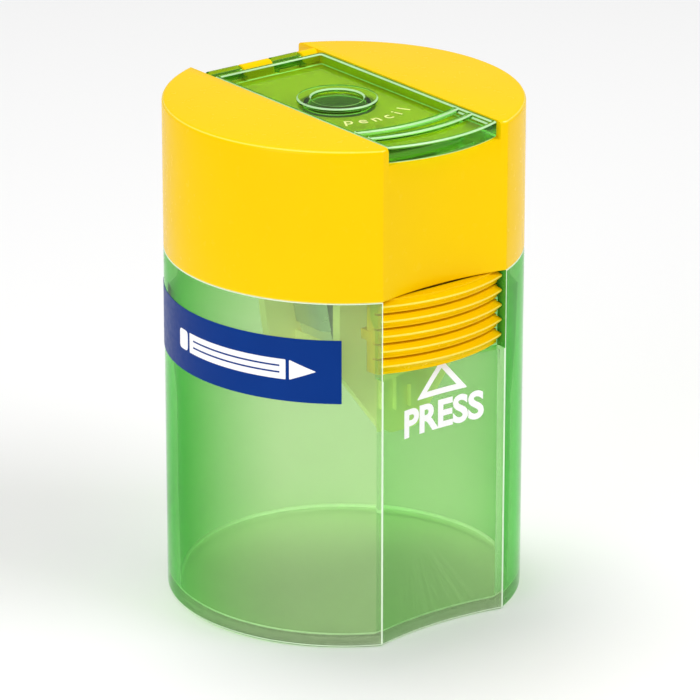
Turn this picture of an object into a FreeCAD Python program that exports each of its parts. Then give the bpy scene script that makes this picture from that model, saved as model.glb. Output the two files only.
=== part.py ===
"""Pencil sharpener with a clear collecting tub, a lift-off head and a flip lid.

Millimetres. Origin at the centre of the resting face, +Z up, and the thumb
channel faces -Y. Each node is written to parts/NAME.step.
"""
import math
import os

import FreeCAD
import Part

# ---------------------------------------------------------------- dimensions
# Outer shape shared by the tub and the head
BODY_RADIUS = 20.0
BODY_HEIGHT = 57.6
SEAM_Z = 40.4
CHANNEL_MIDDLE = 17.15        # distance from the axis to the middle of the thumb channel
CHANNEL_RADIUS = 38.5         # hollow curve of the channel wall
CORNER_ROUND = 0.35

# Tub
TUB_WALL = 1.3
TUB_FLOOR = 1.0
TUB_FOOT_ROUND = 0.5
NECK_HEIGHT = 4.5
NECK_WALL = 0.9
NECK_GAP = 0.2                # between the neck and the skirt of the head
SHOULDER_DEPTH = 2.4          # thicker band inside the tub that carries the neck

# Head
SKIRT_WALL = 1.0
SKIRT_HEIGHT = 5.0
HEAD_WALL = 1.4
ROOF = 1.2
RIM_ROUND = 0.5
HOLE_RADIUS = 4.3             # pencil hole in the roof and in the holder
HOLE_Y = 1.2                  # the hole lies a little behind the axis of the body

# Channel across the top, and the lid in it
TRACK_HALF_WIDTH = 7.65
TRACK_DEPTH = 2.05
LID_HALF_WIDTH = 7.5
LID_UNDERSIDE = 55.72
LID_PANEL_TOP = 56.6
LID_TOP = 57.56
LID_EDGE = 0.55               # thickness of the upright edges of the lid
LID_BACK = 13.9
LID_FRONT = 18.9
LID_FRONT_RADIUS = 20.0
THUMB_ZONE_START = 12.15
THUMB_ZONE_TOP = 57.05
THUMB_RIDGES = (12.7, 15.1)     # the front edge of the lid is the third
THUMB_RIDGE_WIDTH = 0.8
RING_OUTER = 4.5
RING_INNER = 2.9
RING_TOP = 57.0
PLUG_OUTER = 3.85
PLUG_INNER = 3.1
PLUG_DEPTH = 1.5

# Lid hinge
HINGE_Y = 15.5
HINGE_Z = 56.62
KNUCKLE_RADIUS = 0.94
PIN_RADIUS = 0.4
PIN_CLEARANCE = 0.05
PIN_HALF_LENGTH = 8.3
LID_KNUCKLES = ((-7.1, -2.9), (1.5, 5.3))
HEAD_KNUCKLES = ((-2.7, 1.3), (5.5, TRACK_HALF_WIDTH))

# Press latch
PAD_HALF_WIDTH = 8.3
PAD_TOP = 40.25
PAD_ARC_CENTRE = 1.6
PAD_CORE_RADIUS = 20.15
PAD_CREST_RADIUS = 21.0
PAD_BACK_RADIUS = 18.5
RIB_COUNT = 5
RIB_PITCH = 1.72
RIB_CREST_HALF = 0.14
RIB_CREST_DROP = 0.3          # the crest lies below the middle of its rib
RIB_ROOT = 0.2                # how deep a rib stands in the plate behind it
NOTCH_HALF_WIDTH = 8.5
NOTCH_SIDE_GAP = 0.35
NOTCH_BACK = 13.0             # how near the axis the notch for the pad reaches
ARM_HALF_WIDTH = 6.0
ARM_FRONT = 15.3
ARM_THICKNESS = 1.1
ARM_SHELF = 1.4               # thickness of the shelf between the pad and the arm
ARM_SEAT = 1.2                # wall of the seat behind the top of the arm
FLEX_Z = 52.6
FLEX_RADIUS = 0.6
FLEX_CLEARANCE = 0.08
CATCH_Z = 36.6
CATCH_HEIGHT = 1.2
CATCH_REACH = 1.0
CATCH_BACK = 14.2
NOSE_WIDTH = 1.6
NOSE_HEIGHT = 1.2
NOSE_FRONT = 15.8
NOSE_BACK = 14.0
NOSE_DROP = 0.2               # below the catch
NOSE_SIDE_GAP = 0.1

# Sharpener insert
SHARPENER_TOP = 53.3
SHARPENER_LENGTH = 25.0
SHARPENER_HALF_THICKNESS = 5.5
SHARPENER_HALF_WIDTH = 7.5
SHARPENER_END_HALF_WIDTH = 6.3
BORE_RADIUS = 4.1
BORE_LENGTH = 7.0
CONE_HALF_ANGLE = 11.5
FACE_SINK = 0.25              # how far the blade face cuts into the cone
BLADE_LENGTH = 23.0
BLADE_WIDTH = 7.0
BLADE_THICKNESS = 0.6
BLADE_EDGE_Y = 0.3
BLADE_BEVEL = 1.2
BLADE_TOP_MARGIN = 0.8        # from the upper end of the blade face
SCREW_ALONG = 9.5
SCREW_ACROSS = 4.9
SCREW_HEAD_RADIUS = 2.2
SCREW_HEAD_HEIGHT = 0.9
SCREW_HEAD_ROUND = 0.35
SCREW_SHANK_RADIUS = 1.1
SCREW_LENGTH = 4.2
SCREW_SLOT = 0.6
SCREW_SLOT_DEPTH = 0.45
SEAT_GAP = 0.05

# Holder of the sharpener
HOLDER_TOP = 54.3
HOLDER_WALL = 1.2
SHIELD_FRONT = 10.4
SHIELD_BOTTOM = 21.4
SHIELD_HALF_WIDTH = 8.5
SHIELD_TIP_HALF_WIDTH = 2.2
SHIELD_SHOULDER_Z = 30.0
SHIELD_TIP_ROUND = 2.0
SHIELD_SHOULDER_ROUND = 3.0
CHEEK_BOTTOM = 24.0
CHEEK_EDGE = (-7.6, -5.9, -3.0)    # X of the free edge at the top, the seam and the bottom
FRONT_CHEEK_EDGE = -2.0
SHELF_Z = 27.0
SHELF_EDGE = -0.2
SHELF_HOLE = 1.6
BOSS_HALF_WIDTH = 1.5
BOSS_DEPTH = 0.7
BOSS_Z = (24.2, 28.4)
BOSS_SLOT_HALF_WIDTH = 0.55
BOSS_SLOT_TOP = 26.9

# Label
LABEL_Z = (28.9, 36.2)
LABEL_ANGLES = (38.0, 128.0)  # from the front, turning to the left side
LABEL_THICKNESS = 0.08

OVERCUT = 1.0                 # how far a cutting tool runs past the face it cuts
OVERLAP = 0.1                 # how far two bodies of one piece run into each other
TOUCH = 0.01
NEAR = 1e-3                   # distance that counts as lying on a plane or a line


# ------------------------------------------------------------------- helpers
def box(x0, x1, y0, y1, z0, z1):
    """Box between two opposite corners."""
    return Part.makeBox(x1 - x0, y1 - y0, z1 - z0, FreeCAD.Vector(x0, y0, z0))


def cylinder(radius, z0, z1, x=0.0, y=0.0):
    """Upright cylinder."""
    return Part.makeCylinder(radius, z1 - z0, FreeCAD.Vector(x, y, z0))


def bar_along_x(radius, x0, x1, y, z):
    """Round bar that lies along X."""
    return Part.makeCylinder(radius, x1 - x0, FreeCAD.Vector(x0, y, z), FreeCAD.Vector(1, 0, 0))


def can(offset, z0, z1):
    """Round body with the hollow channel in front, moved inwards by offset."""
    scoop_y = -(CHANNEL_MIDDLE + CHANNEL_RADIUS)
    scoop = cylinder(CHANNEL_RADIUS + offset, z0 - OVERCUT, z1 + OVERCUT, 0, scoop_y)
    return cylinder(BODY_RADIUS - offset, z0, z1).cut(scoop)


def fuse(first, *others):
    """One solid out of several."""
    return first.multiFuse(list(others)).removeSplitter()


def plate_xz(points, y0, y1):
    """Flat plate: outline given as (x, z) points, from y0 to y1."""
    corners = [FreeCAD.Vector(x, y0, z) for x, z in points]
    outline = Part.makePolygon(corners + corners[:1])
    return Part.Face(outline).extrude(FreeCAD.Vector(0, y1 - y0, 0))


def edges_where(shape, test):
    """Edges whose end points and middle all pass the test."""
    chosen = []
    for edge in shape.Edges:
        middle = edge.valueAt((edge.FirstParameter + edge.LastParameter) / 2)
        spots = [vertex.Point for vertex in edge.Vertexes] + [middle]
        if all(test(spot) for spot in spots):
            chosen.append(edge)
    return chosen


def is_corner_line(spot):
    """True on the two upright lines where the channel meets the round wall."""
    on_round = abs(math.hypot(spot.x, spot.y) - BODY_RADIUS) < NEAR
    from_scoop = math.hypot(spot.x, spot.y + CHANNEL_MIDDLE + CHANNEL_RADIUS)
    return on_round and abs(from_scoop - CHANNEL_RADIUS) < NEAR


def arc_bar(front_y, width, z0, z1, half_width):
    """Curved bar parallel to the lid's front edge."""
    centre_y = -front_y + LID_FRONT_RADIUS
    outer = cylinder(LID_FRONT_RADIUS, z0, z1, 0, centre_y)
    inner = cylinder(LID_FRONT_RADIUS - width, z0 - OVERCUT, z1 + OVERCUT, 0, centre_y)
    window = box(-half_width, half_width, -BODY_RADIUS, 0, z0, z1)
    return outer.cut(inner).common(window)


# ----------------------------------------------------------------------- tub
def make_tub():
    """Clear tub: floor, wall, neck for the head, notch and catches for the latch."""
    neck_outer = SKIRT_WALL + NECK_GAP
    neck_inner = neck_outer + NECK_WALL
    neck_top = SEAM_Z + NECK_HEIGHT
    wall = can(0, 0, SEAM_Z)
    wall = wall.makeFillet(CORNER_ROUND, edges_where(wall, is_corner_line))
    foot = edges_where(wall, lambda spot: abs(spot.z) < NEAR)
    wall = wall.makeFillet(TUB_FOOT_ROUND, foot)
    shape = fuse(wall, can(neck_outer, SEAM_Z - SHOULDER_DEPTH, neck_top))
    hollow = can(TUB_WALL, TUB_FLOOR, SEAM_Z - SHOULDER_DEPTH)
    floor_edge = edges_where(hollow, lambda spot: abs(spot.z - TUB_FLOOR) < NEAR)
    hollow = hollow.makeFillet(TUB_FOOT_ROUND, floor_edge)
    shape = shape.cut(hollow)
    throat_bottom = SEAM_Z - SHOULDER_DEPTH - TOUCH
    shape = shape.cut(can(neck_inner, throat_bottom, neck_top + OVERCUT))
    notch = box(-NOTCH_HALF_WIDTH, NOTCH_HALF_WIDTH, -BODY_RADIUS, -NOTCH_BACK,
                pad_bottom() - NOTCH_SIDE_GAP, neck_top + OVERCUT)
    shape = shape.cut(notch)
    inside = cylinder(BODY_RADIUS - TUB_WALL / 2, 0, SEAM_Z)
    for side in (-1, 1):
        near = side * NOTCH_HALF_WIDTH
        far = side * (NOTCH_HALF_WIDTH + CATCH_REACH)
        catch = box(min(near, far), max(near, far), -BODY_RADIUS, -CATCH_BACK,
                    CATCH_Z, CATCH_Z + CATCH_HEIGHT)
        shape = shape.fuse(catch.common(inside))
    return shape.removeSplitter()


def make_label():
    """Thin band stuck on the left side of the tub."""
    z0, z1 = LABEL_Z
    start, end = LABEL_ANGLES
    base = FreeCAD.Vector(0, 0, z0)
    up = FreeCAD.Vector(0, 0, 1)
    band = Part.makeCylinder(BODY_RADIUS + LABEL_THICKNESS, z1 - z0, base, up, end - start)
    band.rotate(base, up, -90 - end)
    return band.cut(cylinder(BODY_RADIUS, z0, z1))


# ---------------------------------------------------------------------- head
def make_head_shell():
    """Yellow cap: skirt, roof with the lid track, hinge knuckles, latch seat."""
    shape = can(0, SEAM_Z, BODY_HEIGHT)
    shape = shape.makeFillet(CORNER_ROUND, edges_where(shape, is_corner_line))
    rim = edges_where(shape, lambda spot: abs(spot.z - BODY_HEIGHT) < NEAR)
    shape = shape.makeFillet(RIM_ROUND, rim)
    track_floor = BODY_HEIGHT - TRACK_DEPTH
    roof_underside = track_floor - ROOF
    skirt_top = SEAM_Z + SKIRT_HEIGHT
    shape = shape.cut(can(SKIRT_WALL, SEAM_Z - OVERCUT, skirt_top))
    shape = shape.cut(can(HEAD_WALL, skirt_top - TOUCH, roof_underside))
    side_pockets = can(HEAD_WALL, roof_underside - TOUCH, BODY_HEIGHT - HEAD_WALL)
    track_wall = TRACK_HALF_WIDTH + HEAD_WALL
    side_pockets = side_pockets.cut(box(-track_wall, track_wall, -BODY_RADIUS, BODY_RADIUS,
                                        roof_underside - OVERCUT, BODY_HEIGHT))
    shape = shape.cut(side_pockets)
    track = box(-TRACK_HALF_WIDTH, TRACK_HALF_WIDTH, -BODY_RADIUS - OVERCUT,
                BODY_RADIUS + OVERCUT, track_floor, BODY_HEIGHT + OVERCUT)
    shape = shape.cut(track)
    hole = cylinder(HOLE_RADIUS, roof_underside - OVERCUT, track_floor + OVERCUT, 0, HOLE_Y)
    shape = shape.cut(hole)
    for x0, x1 in HEAD_KNUCKLES:
        knuckle = bar_along_x(KNUCKLE_RADIUS, x0, x1, HINGE_Y, HINGE_Z)
        foot = box(x0, x1, HINGE_Y - KNUCKLE_RADIUS, HINGE_Y + KNUCKLE_RADIUS,
                   track_floor - ROOF / 2, HINGE_Z)
        shape = shape.fuse(knuckle).fuse(foot)
    seat = box(-ARM_HALF_WIDTH, ARM_HALF_WIDTH, -CHANNEL_MIDDLE + HEAD_WALL / 2,
               -ARM_FRONT + ARM_THICKNESS + ARM_SEAT, FLEX_Z, roof_underside + ROOF / 2)
    shape = shape.fuse(seat)
    shape = shape.cut(bar_along_x(FLEX_RADIUS + FLEX_CLEARANCE, -ARM_HALF_WIDTH - OVERCUT,
                                  ARM_HALF_WIDTH + OVERCUT, flex_y(), FLEX_Z))
    shape = shape.cut(bar_along_x(PIN_RADIUS + PIN_CLEARANCE, -PIN_HALF_LENGTH - PIN_CLEARANCE,
                                  PIN_HALF_LENGTH + PIN_CLEARANCE, HINGE_Y, HINGE_Z))
    return shape.removeSplitter()


def make_hinge_pin():
    """Steel pin of the lid hinge."""
    return bar_along_x(PIN_RADIUS, -PIN_HALF_LENGTH, PIN_HALF_LENGTH, HINGE_Y, HINGE_Z)


# ----------------------------------------------------------------------- lid
def make_flip_lid():
    """Clear lid: tray with upright edges, thumb ridges, ring, plug and knuckles."""
    front = cylinder(LID_FRONT_RADIUS, LID_UNDERSIDE, LID_TOP, 0, LID_FRONT_RADIUS - LID_FRONT)
    outline = front.common(box(-LID_HALF_WIDTH, LID_HALF_WIDTH, -BODY_RADIUS, LID_BACK,
                               LID_UNDERSIDE, LID_TOP))
    inner_half = LID_HALF_WIDTH - LID_EDGE
    tray = box(-inner_half, inner_half, -THUMB_ZONE_START, LID_BACK - LID_EDGE,
               LID_PANEL_TOP, BODY_HEIGHT)
    tray_front = cylinder(LID_FRONT_RADIUS, LID_PANEL_TOP, BODY_HEIGHT,
                          0, LID_FRONT_RADIUS - THUMB_ZONE_START)
    inside_front = cylinder(LID_FRONT_RADIUS - LID_EDGE, THUMB_ZONE_TOP, BODY_HEIGHT,
                            0, LID_FRONT_RADIUS - LID_FRONT)
    scoop = box(-inner_half, inner_half, -BODY_RADIUS, 0, THUMB_ZONE_TOP, BODY_HEIGHT)
    shape = outline.cut(tray.common(tray_front)).cut(scoop.common(inside_front))
    for ridge_y in THUMB_RIDGES:
        ridge = arc_bar(ridge_y + THUMB_RIDGE_WIDTH / 2, THUMB_RIDGE_WIDTH,
                        THUMB_ZONE_TOP - OVERLAP, LID_TOP, inner_half + TOUCH)
        shape = shape.fuse(ridge)
    ring = cylinder(RING_OUTER, LID_PANEL_TOP - OVERLAP, RING_TOP, 0, HOLE_Y)
    ring = ring.cut(cylinder(RING_INNER, 0, BODY_HEIGHT, 0, HOLE_Y))
    plug = cylinder(PLUG_OUTER, LID_UNDERSIDE - PLUG_DEPTH, LID_UNDERSIDE + OVERLAP, 0, HOLE_Y)
    plug = plug.cut(cylinder(PLUG_INNER, 0, LID_UNDERSIDE, 0, HOLE_Y))
    shape = shape.fuse(ring).fuse(plug)
    for x0, x1 in LID_KNUCKLES:
        knuckle = bar_along_x(KNUCKLE_RADIUS, x0, x1, HINGE_Y, HINGE_Z)
        web = box(x0, x1, LID_BACK - LID_EDGE, HINGE_Y, LID_UNDERSIDE, LID_PANEL_TOP)
        shape = shape.fuse(knuckle).fuse(web)
    bore = bar_along_x(PIN_RADIUS + PIN_CLEARANCE, -LID_HALF_WIDTH, LID_HALF_WIDTH,
                       HINGE_Y, HINGE_Z)
    return shape.cut(bore).removeSplitter()


# --------------------------------------------------------------------- latch
def pad_bottom():
    """Height of the lower edge of the ribbed pad."""
    return PAD_TOP - RIB_COUNT * RIB_PITCH


def flex_y():
    """Y of the line the latch arm bends about."""
    return -ARM_FRONT + ARM_THICKNESS / 2


def make_rib_ring(axis_y, middle):
    """Ring with a pointed edge: one rib of the pad, all the way round."""
    low = middle - RIB_PITCH / 2
    high = middle + RIB_PITCH / 2
    crest_low = middle - RIB_CREST_DROP - RIB_CREST_HALF
    crest_high = middle - RIB_CREST_DROP + RIB_CREST_HALF
    lower = Part.makeCone(PAD_CORE_RADIUS, PAD_CREST_RADIUS, crest_low - low,
                          FreeCAD.Vector(0, axis_y, low))
    crest = cylinder(PAD_CREST_RADIUS, crest_low, crest_high, 0, axis_y)
    upper = Part.makeCone(PAD_CREST_RADIUS, PAD_CORE_RADIUS, high - crest_high,
                          FreeCAD.Vector(0, axis_y, crest_high))
    bore = cylinder(PAD_CORE_RADIUS - RIB_ROOT, low - OVERCUT, high + OVERCUT, 0, axis_y)
    return fuse(lower, crest, upper).cut(bore)


def make_press_latch():
    """Ribbed thumb pad on a springy arm, with a nose on each side."""
    axis_y = PAD_ARC_CENTRE
    bottom = pad_bottom()
    base = cylinder(PAD_CORE_RADIUS, bottom, PAD_TOP, 0, axis_y)
    base = base.cut(cylinder(PAD_BACK_RADIUS, bottom - OVERCUT, PAD_TOP + OVERCUT, 0, axis_y))
    window = box(-PAD_HALF_WIDTH, PAD_HALF_WIDTH, -BODY_RADIUS - OVERCUT, 0,
                 bottom - OVERCUT, PAD_TOP + OVERCUT)
    pad = base.common(window)
    for rib in range(RIB_COUNT):
        middle = PAD_TOP - (rib + 0.5) * RIB_PITCH
        pad = pad.fuse(make_rib_ring(axis_y, middle).common(window))
    shelf = box(-ARM_HALF_WIDTH, ARM_HALF_WIDTH, axis_y - PAD_BACK_RADIUS - 5 * OVERLAP,
                -ARM_FRONT + ARM_THICKNESS, PAD_TOP - ARM_SHELF, PAD_TOP)
    arm = box(-ARM_HALF_WIDTH, ARM_HALF_WIDTH, -ARM_FRONT, -ARM_FRONT + ARM_THICKNESS,
              PAD_TOP - ARM_SHELF, FLEX_Z)
    bead = bar_along_x(FLEX_RADIUS, -ARM_HALF_WIDTH, ARM_HALF_WIDTH, flex_y(), FLEX_Z)
    shape = fuse(pad, shelf, arm, bead)
    nose_half = NOTCH_HALF_WIDTH - NOSE_SIDE_GAP
    nose_top = CATCH_Z - NOSE_DROP
    for side in (-1, 1):
        inner, outer = sorted((side * (nose_half - NOSE_WIDTH), side * nose_half))
        nose = box(inner, outer, -NOSE_FRONT, -NOSE_BACK, nose_top - NOSE_HEIGHT, nose_top)
        shape = shape.fuse(nose)
    return shape.removeSplitter()


# ----------------------------------------------------------- sharpener insert
def face_x(z):
    """X of the blade face of the wedge at height z."""
    cone_start = SHARPENER_TOP - BORE_LENGTH
    slope = math.tan(math.radians(CONE_HALF_ANGLE))
    return -BORE_RADIUS + (cone_start - z) * slope + FACE_SINK


def on_face(shape):
    """Move a shape made on the XY plane onto the blade face.

    Its X runs up the face and ends at the top edge, its Y is counted from the
    axis of the pencil hole, and its Z points out of the face.
    """
    shape.rotate(FreeCAD.Vector(0, 0, 0), FreeCAD.Vector(0, 1, 0), -90 - CONE_HALF_ANGLE)
    shape.translate(FreeCAD.Vector(face_x(SHARPENER_TOP), HOLE_Y, SHARPENER_TOP))
    return shape


def make_screw_hole(radius):
    """Straight hole for the blade screw, square to the blade face."""
    return on_face(Part.makeCylinder(radius, SCREW_LENGTH + BLADE_THICKNESS + OVERCUT,
                                     FreeCAD.Vector(-SCREW_ALONG, SCREW_ACROSS, -SCREW_LENGTH)))


def make_sharpener_body():
    """Metal wedge with the pencil bore, the cone and the slanted blade face."""
    z_top = SHARPENER_TOP
    z_end = SHARPENER_TOP - SHARPENER_LENGTH
    side = [FreeCAD.Vector(0, -SHARPENER_HALF_WIDTH, z_top),
            FreeCAD.Vector(0, SHARPENER_HALF_WIDTH, z_top),
            FreeCAD.Vector(0, SHARPENER_END_HALF_WIDTH, z_end),
            FreeCAD.Vector(0, -SHARPENER_END_HALF_WIDTH, z_end)]
    block = Part.Face(Part.makePolygon(side + side[:1]))
    block.translate(FreeCAD.Vector(-2 * SHARPENER_HALF_THICKNESS, HOLE_Y, 0))
    block = block.extrude(FreeCAD.Vector(3 * SHARPENER_HALF_THICKNESS, 0, 0))
    keep = plate_xz([(face_x(z_top), z_top), (SHARPENER_HALF_THICKNESS, z_top),
                     (SHARPENER_HALF_THICKNESS, z_end), (face_x(z_end), z_end)],
                    -BODY_RADIUS, BODY_RADIUS)
    block = block.common(keep)
    cone_start = z_top - BORE_LENGTH
    slope = math.tan(math.radians(CONE_HALF_ANGLE))
    tip_radius = BORE_RADIUS - (cone_start - z_end) * slope
    block = block.cut(cylinder(BORE_RADIUS, cone_start, z_top + OVERCUT, 0, HOLE_Y))
    cone = Part.makeCone(tip_radius, BORE_RADIUS, cone_start - z_end,
                         FreeCAD.Vector(0, HOLE_Y, z_end))
    block = block.cut(cone)
    return block.cut(make_screw_hole(SCREW_SHANK_RADIUS + SEAT_GAP))


def make_blade():
    """Steel blade with a bevelled edge and a hole for its screw."""
    z0 = SEAT_GAP
    z1 = SEAT_GAP + BLADE_THICKNESS
    far_side = BLADE_EDGE_Y + BLADE_WIDTH
    low_end = -BLADE_TOP_MARGIN - BLADE_LENGTH
    section = [FreeCAD.Vector(low_end, BLADE_EDGE_Y, z0),
               FreeCAD.Vector(low_end, BLADE_EDGE_Y + BLADE_BEVEL, z1),
               FreeCAD.Vector(low_end, far_side, z1),
               FreeCAD.Vector(low_end, far_side, z0)]
    face = Part.Face(Part.makePolygon(section + section[:1]))
    plate = face.extrude(FreeCAD.Vector(BLADE_LENGTH, 0, 0))
    outline = [FreeCAD.Vector(0, BLADE_EDGE_Y - OVERCUT, 0), FreeCAD.Vector(0, far_side, 0),
               FreeCAD.Vector(low_end, SHARPENER_END_HALF_WIDTH - BLADE_EDGE_Y, 0),
               FreeCAD.Vector(low_end, BLADE_EDGE_Y - OVERCUT, 0)]
    trim = Part.Face(Part.makePolygon(outline + outline[:1]))
    plate = plate.common(trim.extrude(FreeCAD.Vector(0, 0, 2 * z1)))
    hole = Part.makeCylinder(SCREW_SHANK_RADIUS + 4 * SEAT_GAP, z1 + 2 * OVERCUT,
                             FreeCAD.Vector(-SCREW_ALONG, SCREW_ACROSS, -OVERCUT))
    plate = plate.cut(hole)
    return on_face(plate)


def make_blade_screw():
    """Slotted screw that clamps the blade."""
    seat = 2 * SEAT_GAP + BLADE_THICKNESS
    top = seat + SCREW_HEAD_HEIGHT
    head = Part.makeCylinder(SCREW_HEAD_RADIUS, SCREW_HEAD_HEIGHT,
                             FreeCAD.Vector(-SCREW_ALONG, SCREW_ACROSS, seat))
    top_edge = edges_where(head, lambda spot: abs(spot.z - top) < NEAR)
    head = head.makeFillet(SCREW_HEAD_ROUND, top_edge)
    shank = Part.makeCylinder(SCREW_SHANK_RADIUS, SCREW_LENGTH,
                              FreeCAD.Vector(-SCREW_ALONG, SCREW_ACROSS, seat - SCREW_LENGTH))
    slot_half = SCREW_HEAD_RADIUS + OVERLAP
    slot = box(-SCREW_ALONG - SCREW_SLOT / 2, -SCREW_ALONG + SCREW_SLOT / 2,
               SCREW_ACROSS - slot_half, SCREW_ACROSS + slot_half,
               top - SCREW_SLOT_DEPTH, top + OVERCUT)
    screw = head.fuse(shank).cut(slot)
    return on_face(screw.removeSplitter())


def make_sharpener_holder():
    """Yellow cage under the roof: top plate, front shield, back cheek, spine, shelf."""
    front_y = HOLE_Y - SHARPENER_HALF_WIDTH - SEAT_GAP
    back_y = HOLE_Y + SHARPENER_HALF_WIDTH + SEAT_GAP
    spine_x = SHARPENER_HALF_THICKNESS + SEAT_GAP
    shield_back = -SHIELD_FRONT + HOLDER_WALL
    top = box(-SHIELD_HALF_WIDTH, SHIELD_HALF_WIDTH, -SHIELD_FRONT, back_y + HOLDER_WALL,
              SHARPENER_TOP + SEAT_GAP, HOLDER_TOP)
    top = top.cut(cylinder(HOLE_RADIUS, 0, BODY_HEIGHT, 0, HOLE_Y))
    shield = plate_xz([(-SHIELD_HALF_WIDTH, HOLDER_TOP), (SHIELD_HALF_WIDTH, HOLDER_TOP),
                       (SHIELD_HALF_WIDTH, SHIELD_SHOULDER_Z),
                       (SHIELD_TIP_HALF_WIDTH, SHIELD_BOTTOM),
                       (-SHIELD_TIP_HALF_WIDTH, SHIELD_BOTTOM),
                       (-SHIELD_HALF_WIDTH, SHIELD_SHOULDER_Z)], -SHIELD_FRONT, shield_back)
    low_edges = edges_where(shield, lambda spot: abs(spot.z - SHIELD_BOTTOM) < NEAR
                            and abs(abs(spot.x) - SHIELD_TIP_HALF_WIDTH) < NEAR)
    shield = shield.makeFillet(SHIELD_TIP_ROUND, low_edges)
    shoulder_edges = edges_where(shield, lambda spot: abs(spot.z - SHIELD_SHOULDER_Z) < NEAR)
    shield = shield.makeFillet(SHIELD_SHOULDER_ROUND, shoulder_edges)
    spine_back = spine_x + HOLDER_WALL
    front_cheek = box(FRONT_CHEEK_EDGE, spine_back, front_y - HOLDER_WALL, front_y,
                      SHELF_Z, HOLDER_TOP)
    cheek = plate_xz([(CHEEK_EDGE[0], HOLDER_TOP), (CHEEK_EDGE[1], SEAM_Z),
                      (CHEEK_EDGE[2], CHEEK_BOTTOM), (spine_back, CHEEK_BOTTOM),
                      (spine_back, HOLDER_TOP)], back_y, back_y + HOLDER_WALL)
    spine = box(spine_x, spine_back, shield_back - OVERLAP, back_y + OVERLAP,
                SHELF_Z, HOLDER_TOP)
    shelf = box(SHELF_EDGE, spine_x + OVERLAP, front_y - OVERLAP, back_y + OVERLAP, SHELF_Z,
                SHARPENER_TOP - SHARPENER_LENGTH - SEAT_GAP)
    shelf = shelf.cut(cylinder(SHELF_HOLE, 0, BODY_HEIGHT, 0, HOLE_Y))
    boss = box(-BOSS_HALF_WIDTH, BOSS_HALF_WIDTH, -SHIELD_FRONT - BOSS_DEPTH,
               -SHIELD_FRONT + OVERLAP, *BOSS_Z)
    boss = boss.cut(box(-BOSS_SLOT_HALF_WIDTH, BOSS_SLOT_HALF_WIDTH,
                        -SHIELD_FRONT - BOSS_DEPTH - OVERCUT, -SHIELD_FRONT,
                        BOSS_Z[0] - OVERCUT, BOSS_SLOT_TOP))
    return fuse(top, shield, front_cheek, cheek, spine, shelf, boss)


# ----------------------------------------------------------------- write out
NODES = {
    "tub": make_tub,
    "label": make_label,
    "head_shell": make_head_shell,
    "press_latch": make_press_latch,
    "flip_lid": make_flip_lid,
    "hinge_pin": make_hinge_pin,
    "sharpener_holder": make_sharpener_holder,
    "sharpener_body": make_sharpener_body,
    "blade": make_blade,
    "blade_screw": make_blade_screw,
}

os.makedirs("parts", exist_ok=True)
for name, make in NODES.items():
    solid = make()
    print(name, solid.isValid(), len(solid.Solids), round(solid.Volume, 1), solid.BoundBox)
    solid.exportStep("parts/" + name + ".step")
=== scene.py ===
"""Tub pencil sharpener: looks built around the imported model. Metres, +Z up, channel at -Y."""

import math

import bmesh
import bpy
from mathutils import Matrix, Vector


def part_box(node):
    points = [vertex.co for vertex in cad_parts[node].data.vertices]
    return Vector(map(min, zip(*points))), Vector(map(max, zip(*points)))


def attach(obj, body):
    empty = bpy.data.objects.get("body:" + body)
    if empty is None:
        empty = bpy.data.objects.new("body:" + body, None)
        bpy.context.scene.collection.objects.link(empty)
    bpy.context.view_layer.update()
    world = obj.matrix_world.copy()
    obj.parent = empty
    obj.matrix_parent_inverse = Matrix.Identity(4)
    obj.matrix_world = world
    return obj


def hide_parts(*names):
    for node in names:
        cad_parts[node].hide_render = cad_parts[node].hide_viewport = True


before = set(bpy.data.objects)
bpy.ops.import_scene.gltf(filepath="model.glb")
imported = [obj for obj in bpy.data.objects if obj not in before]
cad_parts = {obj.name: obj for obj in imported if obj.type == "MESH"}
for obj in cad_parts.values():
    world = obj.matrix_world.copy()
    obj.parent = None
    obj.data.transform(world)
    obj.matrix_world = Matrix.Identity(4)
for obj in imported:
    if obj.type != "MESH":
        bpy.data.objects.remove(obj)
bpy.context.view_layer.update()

# ------------------------------------------------------------ sizes, in metres
MM = 0.001
HEAD_LOW, HEAD_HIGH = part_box("head_shell")
TUB_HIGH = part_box("tub")[1]
LID_LOW, LID_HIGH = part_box("flip_lid")
TOP = HEAD_HIGH.z
SEAM = HEAD_LOW.z
RADIUS = HEAD_HIGH.x
CHANNEL_MIDDLE = 17.15 * MM
CHANNEL_RADIUS = 38.5 * MM
CHANNEL_CENTRE = -(CHANNEL_MIDDLE + CHANNEL_RADIUS)
CORNER = 0.35 * MM             # rounding of the upright edges of the channel
LEAST_CORNER = 0.15 * MM
EDGE = 0.12 * MM               # rounding of the edges at the seam
FAR = 30 * MM                  # well past the object

TUB_WALL = 1.3 * MM
FLOOR = 1.0 * MM
FOOT_ROUND = 0.5 * MM
NECK_TOP = TUB_HIGH.z
NECK_OUT = 1.2 * MM            # from the outside of the body to that of the neck
NECK_IN = 2.1 * MM
NECK_LIP = 0.2 * MM
SHOULDER_Z = (SEAM - 3.6 * MM, SEAM - 2.4 * MM)
NOTCH_HALF = 8.5 * MM
NOTCH_Y = (-22 * MM, -13 * MM)

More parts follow.
